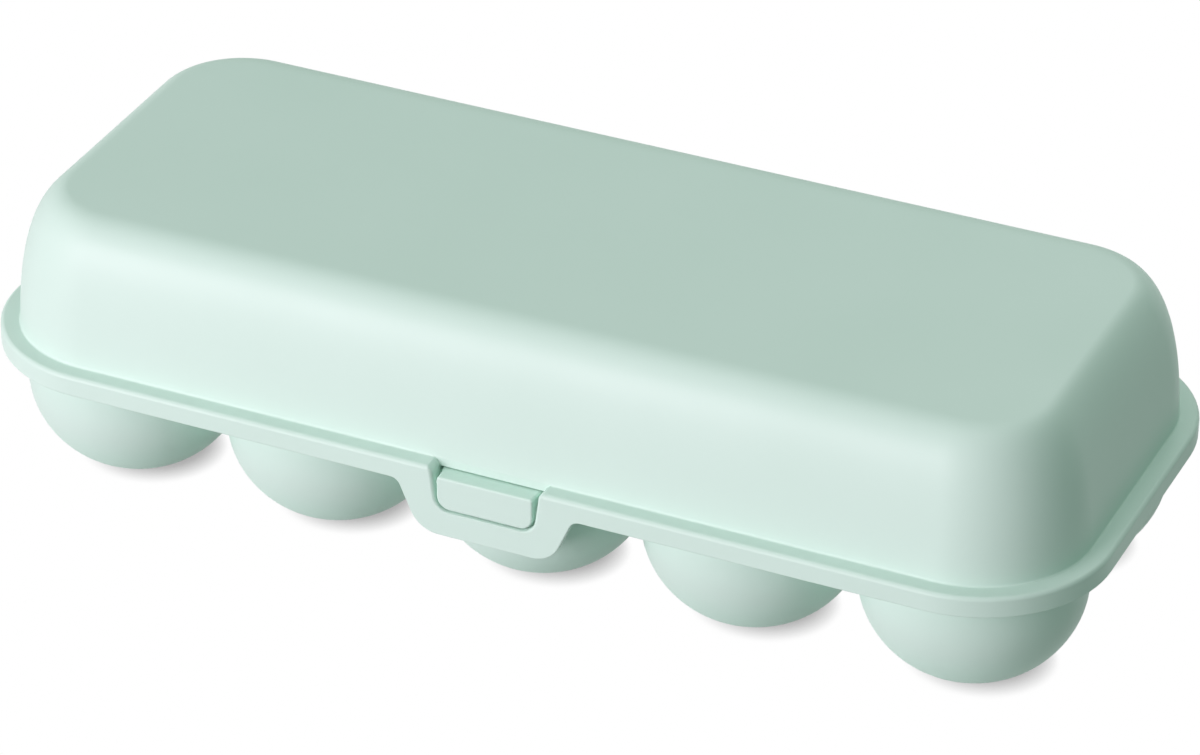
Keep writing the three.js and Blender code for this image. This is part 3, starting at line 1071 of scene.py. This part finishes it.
@dataclass
class Hinge:
    """One of the two hinges at the back: a bar on the tray, held by a clip on the lid."""

    side: str
    station: float
    bar_radius: float
    bar_length: float
    y: float
    z: float
    rim_half_width: float
    ledge_height: float
    skirt_bottom: float
    deck_bottom: float
    running_gap: float = 0.3
    side_gap: float = 0.4
    clip_wall: float = 1.2
    clip_mouth: float = 2.2
    clip_web_drop: float = 0.2
    clip_web_inset: float = 0.6
    clip_web_top_drop: float = 1.0
    clip_sides: int = 24
    bar_sides: int = 36
    ear_thickness: float = 2.4
    ear_arm_depth: float = 3.0
    ear_leg_width: float = 2.2
    ear_steps: int = 20
    tray_inset: float = 2.2
    seam: float = 0.3
    edge_radius: float = 0.25

    @classmethod
    def from_frame(cls, side: str) -> "Hinge":
        """Read a hinge's place and sizes from its CAD nodes."""
        rim_low, rim_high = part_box("lid_rim")
        low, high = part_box(f"hinge_bar_{side}")
        return cls(
            side=side,
            station=(low.x + high.x) / 2 / MM,
            bar_radius=(high.z - low.z) / 2 / MM,
            bar_length=(high.x - low.x) / MM,
            y=((low.y + high.y) / 2 - rim_middle()) / MM,
            z=(low.z + high.z) / 2 / MM,
            rim_half_width=(rim_high.y - rim_middle()) / MM,
            ledge_height=rim_high.z / MM,
            skirt_bottom=rim_low.z / MM,
            deck_bottom=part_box("tray_rim")[0].z / MM,
        )

    @property
    def clip_bore(self) -> float:
        """The radius of the clip's bore."""
        return self.bar_radius + self.running_gap

    @property
    def clip_radius(self) -> float:
        """The radius of the clip's outside."""
        return self.clip_bore + self.clip_wall

    def clip(self) -> None:
        """Build the lid's clip: a ring with a mouth below, on a web that runs up to the skirt."""
        half = self.bar_length / 2 - self.side_gap
        low, high = self.station - half, self.station + half
        front = self.rim_half_width - self.clip_web_inset
        top = self.ledge_height - self.clip_web_top_drop
        lean = self.clip_radius * math.sqrt(0.5)
        web = [
            (front, self.skirt_bottom + self.clip_web_drop),
            (self.y, self.z),
            (self.y + lean, self.z + lean),
            (self.y, top),
            (front, top),
        ]
        ring = circle((self.y, self.z), self.clip_radius, self.clip_sides)
        hole = circle((self.y, self.z), self.clip_bore, self.clip_sides)
        piece = slab(f"hinge_clip_{self.side}", ring, Across.X, low, high)
        combine(piece, [slab("clip_web", web, Across.X, low, high)], "UNION")
        bore = slab("clip_bore", hole, Across.X, low - BEYOND, high + BEYOND)
        mouth = block(
            "clip_mouth",
            (low - BEYOND, self.y - self.clip_mouth / 2, self.z - 2 * BEYOND),
            (high + BEYOND, self.y + self.clip_mouth / 2, self.z),
        )
        combine(piece, [bore, mouth], "DIFFERENCE")
        self.finish(piece, Slot.LID, f"lid_hinge_clip_{self.side}", Body.LID)

    def bracket(self) -> None:
        """Build the tray's bracket: two ears tied by a web behind the cups."""
        inner, outer = self.bar_length / 2, self.bar_length / 2 + self.ear_thickness
        wall_back = self.rim_half_width - self.tray_inset
        leg_front = wall_back - self.ear_leg_width
        low = self.z - self.clip_radius
        arm_top = self.skirt_bottom - self.seam
        rise = arm_top - self.z
        meets = math.degrees(math.atan2(rise, -math.sqrt(self.clip_radius**2 - rise**2)))
        ear = [
            (leg_front, self.deck_bottom),
            (leg_front, low + self.ear_arm_depth / 2),
            (leg_front + self.ear_leg_width / 2, low),
            *arc((self.y, self.z), self.clip_radius, -90, meets, self.ear_steps),
            (wall_back, arm_top),
            (wall_back, self.deck_bottom),
        ]
        piece = block(
            f"hinge_bracket_{self.side}",
            (self.station - outer, leg_front, low + self.ear_arm_depth / 2),
            (self.station + outer, wall_back, self.deck_bottom),
        )
        ears = [
            slab("ear", ear, Across.X, self.station + a, self.station + b)
            for a, b in ((-outer, -inner), (inner, outer))
        ]
        combine(piece, ears, "UNION")
        self.finish(piece, Slot.TRAY, f"tray_hinge_bracket_{self.side}", Body.TRAY)

    def bar(self) -> None:
        """Build the bar between the ears."""
        half = self.bar_length / 2
        round_bar = circle((self.y, self.z), self.bar_radius, self.bar_sides)
        low, high = self.station - half, self.station + half
        piece = slab(f"hinge_rod_{self.side}", round_bar, Across.X, low, high)
        self.finish(piece, Slot.TRAY, f"hinge_bar_{self.side}", Body.TRAY)

    def finish(self, piece: Piece, slot: Slot, node: str, body: Body) -> None:
        """Round a piece's edges, dress it and let it ride on its body.

        Args:
            piece: The piece.
            slot: The record's material slot.
            node: The CAD node that it stands for.
            body: The body that carries it.
        """
        soften(piece, self.edge_radius)
        smooth(piece)
        dress(piece, slot, (node,))
        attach(piece, body.value)


# The studio


def bearing(azimuth: float, elevation: float) -> Vector:
    """Give the unit vector from the box towards a direction, in degrees from its front."""
    a, e = math.radians(azimuth), math.radians(elevation)
    return Vector((math.sin(a) * math.cos(e), -math.cos(a) * math.cos(e), math.sin(e)))


@dataclass(frozen=True)
class SoftLight:
    """A square lamp that faces the box from a distance.

    Its strength is the light that falls square on a surface at the box.
    """

    name: str
    azimuth: float
    elevation: float
    distance: float
    size: float
    strength: float
    colour: str = "#FFFFFF"

    def build(self, target: Vector) -> None:
        """Place the lamp.

        Args:
            target: The point that it faces, in metres.
        """
        back = bearing(self.azimuth, self.elevation)
        lamp = bpy.data.lights.new(self.name, "AREA")
        lamp.shape = "SQUARE"
        lamp.size = self.size
        lamp.energy = self.strength * math.pi**2 * self.distance**2
        lamp.color = to_linear(self.colour)[:3]
        holder = placed(self.name, lamp)
        holder.location = target + back * self.distance
        holder.rotation_euler = back.to_track_quat("Z", "Y").to_euler()


@dataclass
class Studio:
    """The pale floor, the soft lights and the camera.

    The floor shows white, with a tight contact shadow below each cup and to its right, as in the
    photograph. What stands near the floor is measured round a normal that leans to the front left,
    and the floor's level rises to white between the two ends of that measure.
    """

    azimuth: float = 24.258
    elevation: float = 31.231
    roll: float = 0.430
    focal_pixels: float = 5411.143
    image_width: float = 1200.0
    sensor_width: float = 36.0
    camera_place: Point3 = (0.420251, -0.931433, 0.648864)
    light_target: Point3 = (0.0, 0.0, 0.03)
    light_distance: float = 1.6
    floor_half: float = 4.0
    floor_bounce: str = "#AAB2AE"
    shadow_reach_mm: float = 7.0
    shadow_lean: tuple[float, float] = (-1.0, -3.1)
    shadow_samples: int = 32
    shadow_ends: tuple[float, float] = (0.56, 0.85)
    shadow_level: float = 0.42
    ambient: float = 0.27
    ambient_colour: str = "#D6FFED"

    def lights(self) -> list[SoftLight]:
        """List the lamps."""
        away = self.light_distance
        return [
            SoftLight("key_light", -27, 8, away, size=1.1, strength=1.31, colour="#FFEFFA"),
            SoftLight("top_light", 0, 85, away, size=1.0, strength=0.20, colour="#FFF6FC"),
            SoftLight("back_light", 175, 42, away, size=1.0, strength=0.17),
        ]

    def floor(self) -> None:
        """Lay a floor that shows white and keeps the box's shadow."""
        half = self.floor_half
        corners = [(-half, -half, 0), (half, -half, 0), (half, half, 0), (-half, half, 0)]
        mesh = bpy.data.meshes.new("floor")
        mesh.from_pydata(corners, [], [(0, 1, 2, 3)])
        floor = placed("floor", mesh)
        material = bpy.data.materials.new("studio_floor")
        tree = fresh_tree(material)
        paint = add_node(tree, "ShaderNodeBsdfDiffuse", {"Color": to_linear(self.floor_bounce)})
        x, y = self.shadow_lean
        lean = add_node(tree, "ShaderNodeCombineXYZ", {"X": x, "Y": y, "Z": 1.0})
        near = add_node(
            tree,
            "ShaderNodeAmbientOcclusion",
            {"samples": self.shadow_samples, "Distance": self.shadow_reach_mm * MM},
            {"Normal": lean.outputs["Vector"]},
        )
        level = add_node(
            tree,
            "ShaderNodeMapRange",
            {
                "From Min": self.shadow_ends[0],
                "From Max": self.shadow_ends[1],
                "To Min": self.shadow_level,
            },
            {"Value": near.outputs["AO"]},
        )
        lit = add_node(tree, "ShaderNodeEmission", links={"Strength": level.outputs["Result"]})
        self.show(tree, "ShaderNodeOutputMaterial", paint, lit)
        mesh.materials.append(material)

    def show(self, tree: Tree, kind: str, light: bpy.types.Node, view: bpy.types.Node) -> None:
        """Output one shader to the rays that show the background, and another to the rest.

        Args:
            tree: The node tree.
            kind: The output node's type name.
            light: The shader that lights the box.
            view: The shader that camera, glossy and transmission rays see.
        """
        path = add_node(tree, "ShaderNodeLightPath")
        seen = path.outputs["Is Camera Ray"]
        for ray in ("Is Glossy Ray", "Is Transmission Ray"):
            links = {0: seen, 1: path.outputs[ray]}
            seen = add_node(tree, "ShaderNodeMath", {"operation": "MAXIMUM"}, links).outputs[0]
        links = {0: seen, 1: light.outputs[0], 2: view.outputs[0]}
        mixed = add_node(tree, "ShaderNodeMixShader", links=links)
        add_node(tree, kind, links={"Surface": mixed.outputs[0]})

    def world(self) -> None:
        """Make the world: white where it is seen, and a weak even light on the box."""
        world = bpy.data.worlds.new("studio")
        tree = fresh_tree(world)
        even = {"Color": to_linear(self.ambient_colour), "Strength": self.ambient}
        soft = add_node(tree, "ShaderNodeBackground", even)
        bright = {"Color": to_linear("#FFFFFF"), "Strength": 1.0}
        white = add_node(tree, "ShaderNodeBackground", bright)
        self.show(tree, "ShaderNodeOutputWorld", soft, white)
        bpy.context.scene.world = world

    def camera(self) -> None:
        """Set up the camera at the photograph's angle."""
        a, turn = math.radians(self.azimuth), math.radians(self.roll)
        back = bearing(self.azimuth, self.elevation)
        level = Vector((math.cos(a), math.sin(a), 0))
        up = back.cross(level)
        right = math.cos(turn) * level + math.sin(turn) * up
        up = back.cross(right)
        lens = bpy.data.cameras.new("camera")
        lens.sensor_fit = "HORIZONTAL"
        lens.sensor_width = self.sensor_width
        lens.lens = lens.sensor_width * self.focal_pixels / self.image_width
        camera = placed("camera", lens)
        turned = Matrix((right, up, back)).transposed().to_4x4()
        camera.matrix_world = Matrix.Translation(self.camera_place) @ turned
        bpy.context.scene.camera = camera

    def build(self) -> None:
        """Set up the floor, the lights, the world and the camera."""
        bpy.context.scene.view_settings.view_transform = "Standard"
        self.floor()
        self.world()
        for light in self.lights():
            light.build(Vector(self.light_target))
        self.camera()


def main() -> None:
    """Build the box's pieces in order, then the studio."""
    logging.basicConfig(level=logging.INFO, format="%(name)s: %(message)s")
    for name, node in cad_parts.items():
        dress(node, Slot.LID if name in LID_NODES else Slot.TRAY)
    Lid.from_frame().build()
    Tray.from_frame().build()
    Catch.from_frame().build()
    for side in ("left", "right"):
        hinge = Hinge.from_frame(side)
        hinge.clip()
        hinge.bracket()
        hinge.bar()
    Studio().build()


if __name__ == "__main__":
    main()
